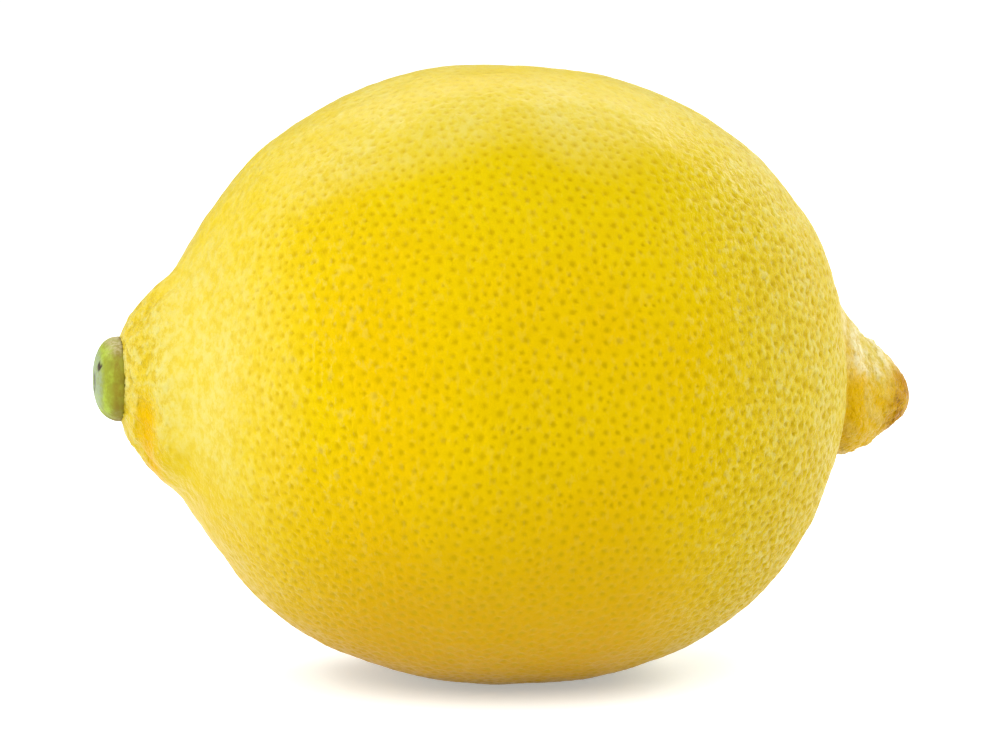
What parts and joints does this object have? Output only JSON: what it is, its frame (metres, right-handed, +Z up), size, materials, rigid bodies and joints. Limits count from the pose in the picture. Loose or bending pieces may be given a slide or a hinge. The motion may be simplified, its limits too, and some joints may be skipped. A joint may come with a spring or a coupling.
{
  "type": "lemon",
  "caption": "Whole ripe lemon lying on its side, with a pitted rind, a drooping nipple and its green stem button.",
  "frame": {"origin": "centre of the flat spot that the fruit rests on, under its centre of mass", "axes": "+X along the fruit from the stem end to the nipple, +Z up, +Y away from the side seen in the picture"},
  "size_m": [0.0836, 0.0622, 0.0618],
  "materials": {
    "rind": "waxy lemon rind, half gloss",
    "calyx": "green woody calyx, matt"
  },
  "bodies": {
    "root": {"fruit": "rind", "stem_button": "calyx"}
  },
  "joints": []
}
